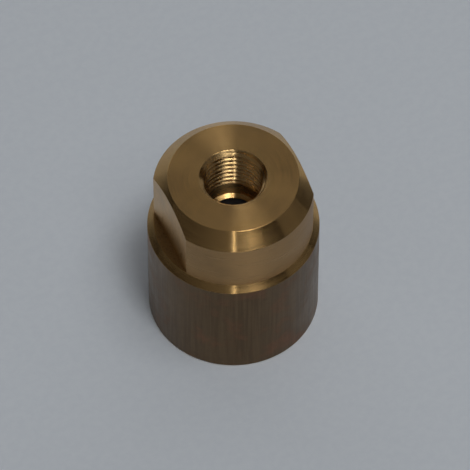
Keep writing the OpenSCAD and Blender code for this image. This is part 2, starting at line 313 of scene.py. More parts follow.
def thread_patch(skin, finish, angles, low_z, high_z, pitch, radius, steps=12):
    """A helical patch: radius(z, phase) gives the wall, and its rows climb with the thread."""
    turns = math.ceil((high_z - low_z) / pitch) + 1
    rows = turns * steps
    start = angles[0]

    def place(i, j):
        angle = angles[i] if i < len(angles) else angles[0] + TAU
        lead = pitch * (angle - start) / TAU
        z = low_z + (j - steps) * pitch / steps + lead
        z = min(max(z, low_z), high_z)
        phase = (z - low_z) / pitch - angle / TAU
        return polar(radius(z, phase), angle, z)

    skin.patch(finish, len(angles), rows, place, closed=False, soft=True)


# ---------------------------------------------------------------- materials

class Value:
    """A number or vector on its way through a node tree. Sums on it add Math nodes."""

    def __init__(self, nodes, socket):
        self.nodes = nodes
        self.socket = socket

    def math(self, operation, *others):
        return self.nodes.value("ShaderNodeMath", {"operation": operation}, dict(enumerate((self, *others))))

    def __add__(self, other):
        return self.math("ADD", other)

    def __sub__(self, other):
        return self.math("SUBTRACT", other)

    def __mul__(self, other):
        return self.math("MULTIPLY", other)

    def __truediv__(self, other):
        return self.math("DIVIDE", other)

    def __rsub__(self, other):
        return (self * -1.0).math("ADD", other)

    __radd__ = __add__
    __rmul__ = __mul__


class Nodes:
    """A node tree. Every node apart from the sums comes from node()."""

    def __init__(self, tree):
        self.tree = tree

    def node(self, kind, settings=None, sockets=None):
        """Adds a node: its settings first, then a value or a link for each socket."""
        made = self.tree.nodes.new(kind)
        for name, value in (settings or {}).items():
            setattr(made, name, value)
        for name, value in (sockets or {}).items():
            self.feed(made.inputs[name], value)
        return made

    def value(self, kind, settings=None, sockets=None, out=0):
        """Adds a node and returns one of its outputs."""
        return Value(self, self.node(kind, settings, sockets).outputs[out])

    def feed(self, socket, value):
        if isinstance(value, Value):
            self.tree.links.new(value.socket, socket)
        else:
            socket.default_value = value

    def split(self, vector):
        parts = self.node("ShaderNodeSeparateXYZ", {}, {0: vector})
        return [Value(self, socket) for socket in parts.outputs]

    def joined(self, x, y, z):
        return self.value("ShaderNodeCombineXYZ", {}, {0: x, 1: y, 2: z})


class Finish(Nodes):
    """One material."""

    # The colour sockets among a Mix node's inputs and outputs
    MIX_SHARE, MIX_A, MIX_B, MIX_RESULT = 0, 6, 7, 2

    def __init__(self, name, **shader):
        self.material = bpy.data.materials.new(name)
        self.material.use_nodes = True
        super().__init__(self.material.node_tree)
        self.tree.nodes.clear()
        self.shader = self.node("ShaderNodeBsdfPrincipled", {}, shader)
        output = self.node("ShaderNodeOutputMaterial")
        self.tree.links.new(self.shader.outputs["BSDF"], output.inputs["Surface"])

    def place(self):
        """The object's own coordinates, in millimetres, as a vector."""
        source = self.value("ShaderNodeTexCoord", out="Object")
        return self.value("ShaderNodeVectorMath", {"operation": "SCALE"}, {0: source, "Scale": 1 / MM})

    def noise(self, vector, scale=1.0, detail=3.0, rough=0.6):
        return self.value(
            "ShaderNodeTexNoise", {},
            {"Vector": vector, "Scale": scale, "Detail": detail, "Roughness": rough},
        )

    def ramp(self, value, low, high, to_low=0.0, to_high=1.0):
        """value from low to high, stretched smoothly to the range from to_low to to_high."""
        return self.value(
            "ShaderNodeMapRange", {"interpolation_type": "SMOOTHSTEP"},
            {"Value": value, "From Min": low, "From Max": high, "To Min": to_low, "To Max": to_high},
        )

    def mixed(self, share, a, b):
        """Colour a where share is 0, and colour b where it is 1."""
        sockets = {self.MIX_SHARE: share, self.MIX_A: a, self.MIX_B: b}
        return self.value("ShaderNodeMix", {"data_type": "RGBA"}, sockets, out=self.MIX_RESULT)

    def bump(self, height, distance):
        """A normal from a height, with the full height worth a distance in millimetres."""
        return self.value("ShaderNodeBump", {}, {"Height": height, "Distance": distance * MM})

    def set(self, **sockets):
        """Feeds the shader, and returns the finished material."""
        for name, value in sockets.items():
            self.feed(self.shader.inputs[name.replace("_", " ").title()], value)
        return self.material


def rgb(red, green, blue):
    return (red, green, blue, 1.0)


FRESH_BRASS = rgb(0.68, 0.425, 0.165)
NECK_BRASS = rgb(0.44, 0.27, 0.12)
FLAT_BRASS = rgb(0.54, 0.34, 0.14)
# A lighter, paler brass for all the threads: painted light, brightening the threads in the bore.
LIT_THREAD_BRASS = rgb(0.70, 0.47, 0.21)
DULL_BRASS = rgb(0.34, 0.215, 0.105)
RED_STAIN = rgb(0.30, 0.13, 0.07)
BAR_BROWNS = (rgb(0.130, 0.083, 0.043), rgb(0.172, 0.111, 0.057))
BAR_SPECK = rgb(0.11, 0.075, 0.045)


def round_axis(finish):
    """Place, radius and the direction from the axis, for marks that run round it."""
    place = finish.place()
    x, y, z = finish.split(place)
    radius = (x * x + y * y).math("SQRT")
    safe = radius + 0.01
    return place, radius, x / safe, y / safe, z


def turning_marks(finish, radius, east, north, z, per_mm):
    """Fine lines that run round the axis, and change slowly along their way."""
    across = radius * per_mm - z * (0.7 * per_mm)
    return finish.noise(finish.joined(across, east * 1.5, north * 1.5))


def turned_brass(name, tone=FRESH_BRASS, stained=0.3, rough=0.25, mark=0.002):
    """Brass straight from the lathe: rings of tool marks blur what it mirrors across them only."""
    finish = Finish(name, **{"Metallic": 1.0, "Anisotropic": 1.0, "Anisotropic Rotation": 0.25})
    place, radius, east, north, z = round_axis(finish)
    marks = turning_marks(finish, radius, east, north, z, per_mm=9.0)
    wide = turning_marks(finish, radius, east, north, z, per_mm=1.5)
    cloud = finish.noise(place, scale=0.16, detail=4.0)
    colour = finish.mixed(finish.ramp(cloud, 0.42, 0.75, 0.0, stained), tone, DULL_BRASS)
    colour = finish.mixed(finish.ramp(marks, 0.35, 0.7, 0.0, 0.12), colour, DULL_BRASS)
    roughness = finish.ramp(marks, 0.3, 0.7, rough - 0.03, rough + 0.03)
    roughness = roughness + finish.ramp(wide, 0.35, 0.65, -0.015, 0.015)
    return finish.set(
        base_color=colour, roughness=roughness, normal=finish.bump(marks + wide * 0.5, mark)
    )


def drawn_brass(name):
    """The bar's own dull skin: lengthwise draw lines, brown tarnish and reddish blotches."""
    finish = Finish(name, **{"Metallic": 1.0, "Anisotropic": 0.6})
    place, _, east, north, z = round_axis(finish)

    def drawn(round_it, along, detail=3.0):
        """Noise with its own scale round the bar and along it."""
        return finish.noise(finish.joined(east * round_it, north * round_it, z * along), detail=detail)

    lines = drawn(26.0, 0.05)
    fine = drawn(110.0, 0.12, detail=2.0)
    blotch = drawn(3.0, 0.16, detail=4.0)
    speck = finish.noise(place, scale=1.1)
    colour = finish.mixed(finish.ramp(lines, 0.3, 0.7), *BAR_BROWNS)
    colour = finish.mixed(finish.ramp(blotch, 0.48, 0.72, 0.0, 0.5), colour, RED_STAIN)
    colour = finish.mixed(finish.ramp(speck, 0.5, 0.75, 0.0, 0.4), colour, BAR_SPECK)
    roughness = finish.ramp(blotch, 0.35, 0.7, 0.34, 0.48) + finish.ramp(fine, 0.3, 0.7, -0.04, 0.04)
    return finish.set(base_color=colour, roughness=roughness, normal=finish.bump(fine + lines, 0.006))


def milled_brass(name):
    """A flat cut by the side of a milling cutter, with faint lines along Z."""
    finish = Finish(name, Metallic=1.0)
    place = finish.place()
    x, y, z = finish.split(place)
    lines = finish.noise(finish.joined(y * 9.0, x * 2.0, z * 0.25))
    cloud = finish.noise(place, scale=0.2)
    return finish.set(
        base_color=finish.mixed(finish.ramp(cloud, 0.4, 0.7, 0.0, 0.5), FLAT_BRASS, DULL_BRASS),
        roughness=finish.ramp(lines, 0.3, 0.7, 0.26, 0.36),
        normal=finish.bump(lines, 0.004),
    )


TOP_FACE = turned_brass("faced_brass", rough=0.21, mark=0.0008)
CHAMFER = turned_brass("chamfer_brass", rough=0.2, stained=0.2, mark=0.001)
NECK = turned_brass("neck_brass", tone=NECK_BRASS, rough=0.3, stained=0.5)
# The threads take the lighter brass, which paints brighter light into the bore.
THREAD = turned_brass("thread_brass", tone=LIT_THREAD_BRASS, rough=0.27, stained=0.4)
BORE = turned_brass("bored_brass", rough=0.28, stained=0.3)
BAR = drawn_brass("drawn_bar_brass")
FLAT = milled_brass("milled_brass")
CAP = turned_brass("bright_turned_brass", rough=0.26)


def moulded(name, tone, worn, rough, mark=0.004, **shader):
    """Rubber or plastic: slight cloudiness, and a fine grain on the surface."""
    finish = Finish(name, **shader)
    place = finish.place()
    cloud = finish.noise(place, scale=0.8)
    grain = finish.noise(place, scale=14.0, detail=2.0)
    return finish.set(
        base_color=finish.mixed(finish.ramp(cloud, 0.35, 0.7), tone, worn),
        roughness=finish.ramp(grain, 0.3, 0.7, rough - 0.06, rough + 0.06),
        normal=finish.bump(grain, mark),
    )


def rolled_steel(name, tone, stain, rough, mark=0.002):
    """Stainless or spring steel with a drawn or rolled surface and faint stains."""
    finish = Finish(name, Metallic=1.0)
    place, radius, east, north, z = round_axis(finish)
    lines = turning_marks(finish, radius, east, north, z, per_mm=5.0)
    cloud = finish.noise(place, scale=0.5)
    return finish.set(
        base_color=finish.mixed(finish.ramp(cloud, 0.4, 0.7), tone, stain),
        roughness=finish.ramp(lines, 0.3, 0.7, rough - 0.06, rough + 0.06),
        normal=finish.bump(lines, mark),
    )


def sintered_bronze(name, ball, pore_shade):
    """Small balls pressed together, with painted shade darkening the pores between them."""
    finish = Finish(name, Metallic=1.0)
    cells = {"Vector": finish.place(), "Scale": 5.0, "Randomness": 0.8}
    depth = finish.value("ShaderNodeTexVoronoi", {"feature": "F1"}, cells, out="Distance")
    # The colour runs from the balls' own tone to painted shade in the pores between them.
    return finish.set(
        base_color=finish.mixed(finish.ramp(depth, 0.35, 0.75), ball, pore_shade),
        roughness=finish.ramp(depth, 0.2, 0.7, 0.32, 0.6),
        normal=finish.bump(1.0 - depth, 0.06),
    )


ACETAL = moulded(
    "black_acetal", rgb(0.010, 0.010, 0.011), rgb(0.016, 0.016, 0.017), 0.5,
    **{"Specular IOR Level": 0.1},
)
SEAL_RUBBER = moulded(
    "soft_black_rubber", rgb(0.016, 0.016, 0.017), rgb(0.030, 0.030, 0.031), 0.5, mark=0.006,
)
SEAT_RUBBER = moulded("red_brown_rubber", rgb(0.26, 0.060, 0.030), rgb(0.20, 0.045, 0.022), 0.55)
SLIDE_PLASTIC = moulded("waxy_white_plastic", rgb(0.70, 0.68, 0.62), rgb(0.60, 0.58, 0.52), 0.4)
STAINLESS = rolled_steel("stamped_stainless", rgb(0.56, 0.55, 0.53), rgb(0.45, 0.44, 0.42), 0.3)
SPRING_STEEL = rolled_steel(
    "drawn_spring_wire", rgb(0.34, 0.34, 0.35), rgb(0.22, 0.22, 0.23), 0.34, mark=0.004,
)
# Its second colour is the painted shade in the pores.
SINTERED = sintered_bronze("pressed_bronze_balls", rgb(0.52, 0.32, 0.15), rgb(0.08, 0.05, 0.03))


# ---------------------------------------------------------------- the body

def body_angles():
    """Columns round the body, with one on each edge of both flats."""
    angles = []
    for middle in (0.0, math.pi):
        angles += spaced(middle - FLAT_HALF, middle + FLAT_HALF, FLAT_COLUMNS)[:-1]
        angles += spaced(middle + FLAT_HALF, middle + math.pi - FLAT_HALF, NECK_COLUMNS)[:-1]
    return angles


def wall_hole_loops(angles, columns, radius, zs, rows, hole_r, middle_z):
    """Rings from the edge of a block in a cylinder's wall to a round hole in it, drilled along Y."""
    steps = 3
    edge = [polar(radius, angles[i], zs[j]) for i, j in block_loop(*columns, *rows)]
    rim = []
    for point in edge:
        turn = math.atan2(point.z - middle_z, point.x)
        x = hole_r * math.cos(turn)
        rim.append(Vector((x, math.sqrt(radius**2 - x**2), middle_z + hole_r * math.sin(turn))))
    rings = []
    for step in range(steps + 1):
        ring = []
        for outer, inner in zip(edge, rim):
            point = blend(outer, inner, step / steps)
            stretch = radius / math.hypot(point.x, point.y)
            ring.append(Vector((point.x * stretch, point.y * stretch, point.z)))
        rings.append(ring)
    return rings


def make_body():
    skin = Skin()
    angles = body_angles()
    top_r = NECK_R - TOP_CHAMFER
    flats = [range(0, FLAT_COLUMNS), range(FLAT_COLUMNS + NECK_COLUMNS, 2 * FLAT_COLUMNS + NECK_COLUMNS)]
    necks = [
        range(FLAT_COLUMNS, FLAT_COLUMNS + NECK_COLUMNS),
        range(2 * FLAT_COLUMNS + NECK_COLUMNS, BODY_COLUMNS),
    ]

    def reach(angle):
        """How far out the neck goes at an angle, up to the flat."""
        return min(NECK_R, FLAT_X / max(abs(math.cos(angle)), 1e-6))

    def chamfer_z(radius):
        """Height of the top chamfer at a radius."""
        return TOP_Z - (radius - top_r)

    # Vent: a block of the wall at the back is left open for it, outside and inside
    vent_z = (PLUG_LOW.z + PLUG_HIGH.z) / 2
    middle = FLAT_COLUMNS + NECK_COLUMNS // 2
    vent_columns = (middle - VENT_ROWS // 2, middle + VENT_ROWS // 2)

    def wall_rows(low, high, half, below):
        """Heights of the rows of a wall, and the rows that the block round the vent takes."""
        return (
            spaced(low, vent_z - half, below)
            + spaced(vent_z - half, vent_z + half, VENT_ROWS)[1:]
            + spaced(vent_z + half, high, WALL_ROWS)[1:]
        ), (below, below + VENT_ROWS)

    outer_zs, outer_rows = wall_rows(EDGE_BREAK, SHOULDER_Z, half=2.6, below=WALL_ROWS)
    inner_zs, inner_rows = wall_rows(CAP_H, ROOF_Z, half=1.85, below=2)

    # Lower end and the bar's skin
    skin.turned(CAP, [
        (CAP_THREAD_R, CAP_CHAMFER), (CAP_THREAD_R + CAP_CHAMFER, 0.0),
        (BODY_R - EDGE_BREAK, 0.0), (BODY_R, EDGE_BREAK),
    ], angles)
    skin.turned(
        BAR, [(BODY_R, z) for z in outer_zs], angles,
        leave=[(*vent_columns, *outer_rows)],
    )

    # Shoulder, ledges, flats, neck, top chamfer and top face
    skin.turned(CHAMFER, [(BODY_R, SHOULDER_Z), (NECK_R, NECK_Z)], angles)
    for columns in flats:
        turns = [angles[i] for i in columns] + [angles[columns[-1] + 1]]
        skin.patch(
            FLAT, FLAT_COLUMNS, LEDGE_ROWS,
            lambda i, j: polar(blend(reach(turns[i]), NECK_R, j / LEDGE_ROWS), turns[i], NECK_Z),
            closed=False,
        )
        skin.patch(
            FLAT, FLAT_COLUMNS, NECK_ROWS,
            lambda i, j: polar(
                reach(turns[i]), turns[i],
                blend(NECK_Z, chamfer_z(reach(turns[i])), j / NECK_ROWS),
            ), closed=False,
        )
    for columns in necks:
        turns = [angles[i] for i in columns] + [angles[(columns[-1] + 1) % BODY_COLUMNS]]
        skin.patch(
            NECK, NECK_COLUMNS, NECK_ROWS,
            lambda i, j: polar(NECK_R, turns[i], blend(NECK_Z, chamfer_z(NECK_R), j / NECK_ROWS)),
            closed=False,
        )

    def chamfer_point(i, j):
        radius = blend(reach(angles[i]), top_r, j / CHAMFER_ROWS)
        return polar(radius, angles[i], chamfer_z(radius))

    skin.patch(CHAMFER, BODY_COLUMNS, CHAMFER_ROWS, chamfer_point)
    top_rings = (*spaced(top_r, MOUTH_R + MOUTH_RIM, TOP_ROWS), MOUTH_R)
    skin.turned(TOP_FACE, [(r, TOP_Z) for r in top_rings], angles)

    # Outlet with its thread, drilled end and smaller hole, and the chamber below it
    outlet_wall = port_thread(OUTLET_CREST_R, TOP_Z, OUTLET_END_Z)
    thread_patch(skin, THREAD, angles, OUTLET_END_Z, TOP_Z, PIPE_PITCH, outlet_wall)
    skin.turned(BORE, [
        (OUTLET_CREST_R, OUTLET_END_Z), (DRILL_R, DRILL_END_Z), (HOLE_R, HOLE_TOP_Z), (HOLE_R, ROOF_Z),
    ], angles)
    skin.turned(BORE, [(r, ROOF_Z) for r in spaced(HOLE_R, CHAMBER_R, 4)], angles)
    skin.turned(
        BORE, [(CHAMBER_R, z) for z in inner_zs], angles,
        leave=[(*vent_columns, *inner_rows)],
    )

    # Relief and thread for the end cap
    skin.turned(BORE, [(CHAMBER_R, CAP_H), (CAP_THREAD_R, CAP_H), (CAP_THREAD_R, CAP_RELIEF_Z)], angles)
    cap_wall = cap_thread(CAP_THREAD_R)
    thread_patch(skin, THREAD, angles, CAP_CHAMFER, CAP_RELIEF_Z, CAP_PITCH, cap_wall, steps=8)

    # The vent's counterbore and its hole into the chamber
    plug_room = PLUG_HIGH.x + 0.02
    vent_r = 0.8
    outside = wall_hole_loops(angles, vent_columns, BODY_R, outer_zs, outer_rows, plug_room, vent_z)
    inside = wall_hole_loops(angles, vent_columns, CHAMBER_R, inner_zs, inner_rows, vent_r, vent_z)
    turns = [math.atan2(p.z - vent_z, p.x) for p in outside[-1]]

    def seat_ring(radius):
        """A ring at the depth where the plug sits."""
        return [
            Vector((radius * math.cos(t), PLUG_LOW.y, vent_z + radius * math.sin(t))) for t in turns
        ]

    skin.loops(BAR, outside)
    skin.loops(BORE, [outside[-1], seat_ring(plug_room), seat_ring(vent_r), inside[-1]])
    skin.loops(BORE, inside[::-1])

    place_piece(skin.finish_mesh("turned_body", bevel=0.045), "housing", "body")


make_body()


# ---------------------------------------------------------------- the end cap

# Tube that guides the stem, its seal's groove, and the room for the seat
BOSS_R = 7.4
BOSS_TOP_Z = 21.4
BOSS_CHAMFER = 0.4
GUIDE_R = 4.55
STEM_GROOVE = (5.6, 18.6, 20.5)
VALVE_ROOM_R = 5.4
VALVE_ROOM_TOP = 17.8
CARRIER_RIM_Z = CARRIER_LOW.z + 1.2

# Outside of the cap above its thread: relief, spigot and the cap seal's groove
CAP_RELIEF_R = CAP_THREAD_R - 1.1
SPIGOT_R = CHAMBER_R - FIT_GAP
SPIGOT_TOP_Z = 9.8
CAP_GROOVE = (CHAMBER_R - 1.5, CAP_H + 0.6, CAP_H + 2.2)

# Grooves for the two snap rings
SNAP_GROOVE_R = 6.15
SNAP_GROOVE_H = 0.5
SNAP_GROOVES_Z = (10.85, 9.2)

# Two blind holes for a pin spanner
SPANNER_TURN = math.radians(25)
SPANNER_R = 10.8
SPANNER_HOLE_R = 1.6
SPANNER_DEPTH = 3.2
SPANNER_CHAMFER = 0.15


def grooved(wall_r, groove_r, first_z, last_z):
    """Points of an outline that goes along a wall, into a square groove and out again."""
    return [(wall_r, first_z), (groove_r, first_z), (groove_r, last_z), (wall_r, last_z)]


def make_end_cap():
    skin = Skin()
    angles = circle_angles(192)
    cap_r = CAP_HIGH.x
    groove_r, groove_low, groove_high = CAP_GROOVE
    stem_r, stem_low, stem_high = STEM_GROOVE

    skin.turned(CAP, [(r, 0.0) for r in spaced(MOUTH_R, cap_r - CAP_CHAMFER, 8)], angles)
    skin.turned(CAP, [(cap_r - CAP_CHAMFER, 0.0), (cap_r, CAP_CHAMFER)], angles)
    outer_wall = cap_thread(cap_r)
    thread_patch(skin, THREAD, angles, CAP_CHAMFER, CAP_RELIEF_Z, CAP_PITCH, outer_wall, steps=8)
    skin.turned(CAP, [
        (cap_r, CAP_RELIEF_Z), (CAP_RELIEF_R, CAP_RELIEF_Z), (CAP_RELIEF_R, CAP_H), (SPIGOT_R, CAP_H),
        *grooved(SPIGOT_R, groove_r, groove_low, groove_high),
        (SPIGOT_R, SPIGOT_TOP_Z - EDGE_BREAK), (SPIGOT_R - EDGE_BREAK, SPIGOT_TOP_Z),
        (BOSS_R, SPIGOT_TOP_Z), (BOSS_R, BOSS_TOP_Z - BOSS_CHAMFER),
        (BOSS_R - BOSS_CHAMFER, BOSS_TOP_Z), (GUIDE_R + BOSS_CHAMFER, BOSS_TOP_Z),
        (GUIDE_R, BOSS_TOP_Z - BOSS_CHAMFER), *grooved(GUIDE_R, stem_r, stem_high, stem_low),
        (GUIDE_R, VALVE_ROOM_TOP), (VALVE_ROOM_R, VALVE_ROOM_TOP),
        (VALVE_ROOM_R, CARRIER_RIM_Z), (INLET_CREST_R, CARRIER_RIM_Z),
    ], angles)
    inner = [(INLET_CREST_R, CARRIER_RIM_Z)]
    for low in SNAP_GROOVES_Z:
        inner += grooved(INLET_CREST_R, SNAP_GROOVE_R, low + SNAP_GROOVE_H, low)
    skin.turned(CAP, inner + [(INLET_CREST_R, INLET_END_Z)], angles)
    inlet_wall = port_thread(INLET_CREST_R, 0.0, INLET_END_Z)
    thread_patch(skin, THREAD, angles, 0.0, INLET_END_Z, PIPE_PITCH, inlet_wall)

    holes = []
    mouth_r = SPANNER_HOLE_R + SPANNER_CHAMFER
    point = SPANNER_HOLE_R / math.tan(DRILL_POINT / 2)
    for side in (0, math.pi):
        hole = Skin()
        hole.turned(CAP, [
            (0.0, -1.0), (mouth_r, -1.0), (mouth_r, 0.0), (SPANNER_HOLE_R, SPANNER_CHAMFER),
            (SPANNER_HOLE_R, SPANNER_DEPTH), (0.0, SPANNER_DEPTH + point),
        ], circle_angles(48), middle=polar(SPANNER_R, SPANNER_TURN + side, 0.0))
        holes.append(hole)
    piece = skin.finish_mesh("threaded_end_cap", bevel=0.05, cuts=holes)
    place_piece(piece, "housing", "end_cap")


make_end_cap()


# ---------------------------------------------------------------- rings, washers and the piston

def turned_piece(name, finish, outline, body, node, bevel=0.03, columns=128, cuts=()):
    """A whole piece from a closed outline of (radius, z) points, or one that ends on the axis."""
    skin = Skin()
    closed = outline if outline[0][0] == 0.0 else outline + outline[:1]
    skin.turned(finish, closed, circle_angles(columns))
    place_piece(skin.finish_mesh(name, bevel=bevel, cuts=cuts), body, node)


def flat_ring(low, high, inner):
    """Outline of a washer that fills a node's box, from its inner radius outward."""
    return [(inner, low.z), (high.x, low.z), (high.x, high.z), (inner, high.z)]


def round_ring(name, body, node, inner):
    """A moulded rubber ring of round section, with a fine flash line inside and outside."""
    low, high = corners(node)
    thick = (high.x - inner) / 2
    middle_z = (low.z + high.z) / 2
    flash_h = 0.02
    flash_width = 0.05
    outline = []
    for turn in circle_angles(48):
        across = thick - flash_h + flash_h * math.exp(-((math.sin(turn) / flash_width) ** 2))
        outline.append((high.x - thick + across * math.cos(turn), middle_z + across * math.sin(turn)))
    turned_piece(name, SEAL_RUBBER, outline, body, node, bevel=0.0, columns=192)


round_ring("cap_o_ring", "housing", "end_cap_seal", CHAMBER_R - 1.48)
round_ring("head_o_ring", "piston", "piston_head_seal", CHAMBER_R - 1.6)
round_ring("stem_o_ring", "housing", "stem_seal", GUIDE_R + 0.02)

# Piston: stem with a sharp closing edge below, head with grooves for its guide ring and its seal
STEM_R = 4.5
STEM_BORE_R = 3.2
STEM_EDGE_R = (STEM_BORE_R + 0.4, STEM_BORE_R + 0.7)
STEM_EDGE_RISE = (0.5, 0.9)
BORE_CHAMFER = 0.8
HEAD_FILLET = 0.4
HEAD_LOW_Z = 23.1
HEAD_TOP_Z = 27.3
HEAD_R = PISTON_HIGH.x
GUIDE_GROOVE = (11.6, 23.6, 24.8)
SEAL_GROOVE = (10.85, 25.15, 26.8)
STOP_RIM = (10.4, 11.4)
STOP_RIM_SUNK = 0.05
NOTCH_HALF = 1.0


def make_piston():
    """The moulded and turned piston: hollow stem, wide head with two grooves, notched stop rim."""
    skin = Skin()
    low = PISTON_LOW.z
    rim_inner, rim_outer = STOP_RIM
    fillet_r, fillet_z = STEM_R + HEAD_FILLET, HEAD_LOW_Z - HEAD_FILLET
    skin.turned(ACETAL, [
        (rim_inner, HEAD_TOP_Z), (STEM_BORE_R + BORE_CHAMFER, HEAD_TOP_Z),
        (STEM_BORE_R, HEAD_TOP_Z - BORE_CHAMFER), (STEM_BORE_R, low + STEM_EDGE_RISE[0]),
        (STEM_EDGE_R[0], low), (STEM_EDGE_R[1], low), (STEM_R, low + STEM_EDGE_RISE[1]),
        *[
            (fillet_r - HEAD_FILLET * math.cos(t), fillet_z + HEAD_FILLET * math.sin(t))
            for t in spaced(0.0, math.pi / 2, 4)
        ],
        (HEAD_R - EDGE_BREAK, HEAD_LOW_Z), (HEAD_R, HEAD_LOW_Z + EDGE_BREAK),
        *grooved(HEAD_R, *GUIDE_GROOVE), *grooved(HEAD_R, *SEAL_GROOVE),
        (HEAD_R, HEAD_TOP_Z - EDGE_BREAK), (HEAD_R - EDGE_BREAK, HEAD_TOP_Z), (rim_inner, HEAD_TOP_Z),
    ], circle_angles(192))

    # Four arcs of the stop rim, sunk a little into the head, with straight-sided notches between them
    rim_low = HEAD_TOP_Z - STOP_RIM_SUNK
    section = [
        (rim_inner, rim_low), (rim_outer, rim_low), (rim_outer, PISTON_HIGH.z), (rim_inner, PISTON_HIGH.z),
    ]
    steps = 40
    for quarter in range(4):
        start = TAU * quarter / 4

        def corner(i, j):
            radius, z = section[j]
            aside = math.asin(NOTCH_HALF / radius)
            return polar(radius, blend(start + aside, start + TAU / 4 - aside, i / steps), z)

        skin.bar(ACETAL, steps, corner)
    place_piece(skin.finish_mesh("hollow_piston", bevel=0.04), "piston", "piston")


make_piston()


def make_split_ring():
    """The guide ring, with its slanted split on the right."""
    low, high = corners("piston_guide_ring")
    inner = 11.65
    outer = CHAMBER_R - FIT_GAP / 2
    middle_z = (low.z + high.z) / 2
    lean = math.tan(math.radians(30))
    half_split = 0.35
    steps = 180
    section = [(inner, low.z), (outer, low.z), (outer, high.z), (inner, high.z)]

    def corner(i, j):
        radius, z = section[j]
        shift = -lean * (z - middle_z)
        start = (half_split + shift) / radius
        end = TAU - (half_split - shift) / radius
        return polar(radius, blend(start, end, i / steps), z)

    skin = Skin()
    skin.bar(SLIDE_PLASTIC, steps, corner)
    place_piece(skin.finish_mesh("split_ring", bevel=0.05), "piston", "piston_guide_ring")


make_split_ring()


def stacked_rings(name, finish, node, inner, thick):
    """Two thin rings in one node, one at each end of its box."""
    low, high = corners(node)
    skin = Skin()
    for z in (low.z, high.z - thick):
        outline = [(inner, z), (high.x, z), (high.x, z + thick), (inner, z + thick), (inner, z)]
        skin.turned(finish, outline, circle_angles(128))
    place_piece(skin.finish_mesh(name, bevel=0.03), "housing", node)


WASHER_BORE_R = BOSS_R + 0.15
stacked_rings("seal_backup_rings", SLIDE_PLASTIC, "stem_backup_rings", GUIDE_R, thick=0.35)
stacked_rings("thin_shims", STAINLESS, "preload_shims", WASHER_BORE_R, thick=0.28)
turned_piece(
    "spring_seat_washer", STAINLESS, flat_ring(*corners("lower_spring_washer"), WASHER_BORE_R),
    "housing", "lower_spring_washer", bevel=0.08,
)
turned_piece(
    "piston_washer", STAINLESS, flat_ring(*corners("upper_spring_washer"), BOSS_R + 0.4),
    "piston", "upper_spring_washer", bevel=0.08,
)


# ---------------------------------------------------------------- the seat, its screw and the snap rings

# The carrier's hub, spokes and rim, the cup on its hub, and the soft disc in the cup
HUB_R = 2.6
WINDOW_R = (HUB_R + 0.1, 4.9)
CUP_R = 4.6
CUP_LOW_Z = (13.6, 13.9)
SEAT_R = 4.13
SEAT_LOW_Z = 14.3
SEAT_TOP_Z = 15.5
SEAT_EDGE = 0.06
SCREW_R = 1.2
LOOSE = 0.02
SPOKE_HALF = 0.75
SPOKE_TURNS = (30, 150, 270)


def make_seat_carrier():
    """A spider with three spokes, and a cup on its hub for the soft disc."""
    low, high = corners("seat_carrier")
    hole_r = SCREW_R + LOOSE
    room_r = SEAT_R + LOOSE
    outline = [
        (hole_r, low.z), (high.x, low.z), (high.x, CARRIER_RIM_Z), (HUB_R, CARRIER_RIM_Z),
        (HUB_R, CUP_LOW_Z[0]), (CUP_R, CUP_LOW_Z[1]), (CUP_R, high.z), (room_r, high.z),
        (room_r, SEAT_LOW_Z), (hole_r, SEAT_LOW_Z),
    ]
    inner, outer = WINDOW_R
    below, above = low.z - 0.5, CARRIER_RIM_Z + 0.5
    section = [(inner, below), (inner, above), (outer, above), (outer, below)]
    steps = 16
    windows = []
    for first, last in zip(SPOKE_TURNS, SPOKE_TURNS[1:] + (SPOKE_TURNS[0] + 360,)):

        def corner(i, j):
            radius, z = section[j]
            aside = math.asin(SPOKE_HALF / radius)
            return polar(radius, blend(math.radians(first) + aside, math.radians(last) - aside, i / steps), z)

        window = Skin()
        window.bar(CAP, steps, corner)
        windows.append(window)
    turned_piece(
        "seat_spider", CAP, outline, "housing", "seat_carrier",
        bevel=0.04, columns=96, cuts=windows,
    )


make_seat_carrier()

# The disc has the ring that the stem's edge has pressed into it
PRESS_R = 3.75
PRESS_HALF = (0.1, 0.2)
PRESS_DEPTH = 0.03
turned_piece(
    "soft_seat_disc", SEAT_RUBBER,
    [
        (SCREW_R + LOOSE, SEAT_LOW_Z), (SEAT_R, SEAT_LOW_Z), (SEAT_R, SEAT_TOP_Z - SEAT_EDGE),
        (SEAT_R - SEAT_EDGE, SEAT_TOP_Z), (PRESS_R + PRESS_HALF[1], SEAT_TOP_Z),
        (PRESS_R + PRESS_HALF[0], SEAT_TOP_Z - PRESS_DEPTH),
        (PRESS_R - PRESS_HALF[0], SEAT_TOP_Z - PRESS_DEPTH),
        (PRESS_R - PRESS_HALF[1], SEAT_TOP_Z), (SCREW_R + LOOSE, SEAT_TOP_Z),
    ],
    "housing", "seat_disc",
)
turned_piece(
    "clamp_washer", STAINLESS, flat_ring(*corners("seat_washer"), SCREW_R + LOOSE),
    "housing", "seat_washer", columns=64,
)


def box_cut(finish, low, high):
    """A block to cut away, between two corners."""
    skin = Skin()
    cross = [(low.x, low.y), (high.x, low.y), (high.x, high.y), (low.x, high.y)]
    heights = (low.z, low.z, high.z, high.z)
    shares = (0.0, 1.0, 1.0, 0.0)
    middle = (low + high) / 2
    skin.patch(
        finish, 4, 3,
        lambda i, j: Vector((
            blend(middle.x, cross[i][0], shares[j]), blend(middle.y, cross[i][1], shares[j]), heights[j],
        )),
    )
    return skin


